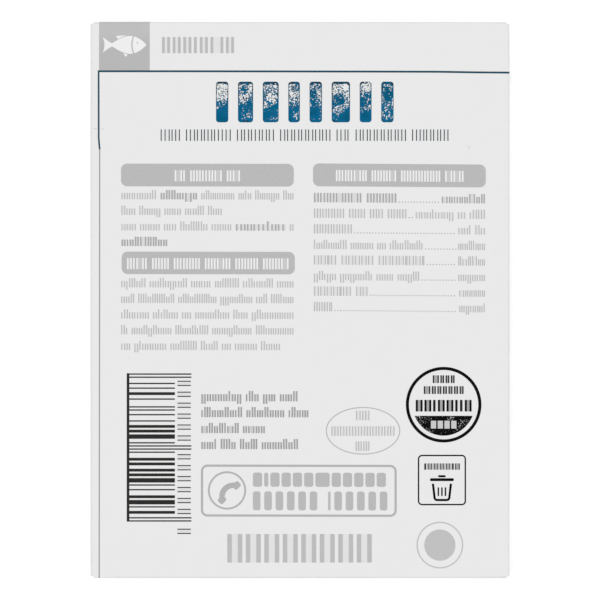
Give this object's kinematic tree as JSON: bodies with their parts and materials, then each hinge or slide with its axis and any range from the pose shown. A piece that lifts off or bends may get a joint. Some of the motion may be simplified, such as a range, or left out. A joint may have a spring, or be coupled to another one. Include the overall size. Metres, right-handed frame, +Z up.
{
  "type": "shut folding carton for chilled desalted cod",
  "caption": "Small shut paperboard carton for chilled fish, lying flat with its printed back panel up and its glued end flaps closed.",
  "frame": {"origin": "centre of the front panel's underside, on the surface that the carton lies on", "axes": "+Z up out of the printed back panel, +Y towards the head of the print, +X towards the right of the print"},
  "size_m": [0.0892, 0.1178, 0.03],
  "materials": {
    "paperboard": "matte coated board, pale grey, with grey, slate, blue and near-black print"
  },
  "bodies": {
    "root": {"carton": "paperboard"}
  },
  "joints": []
}
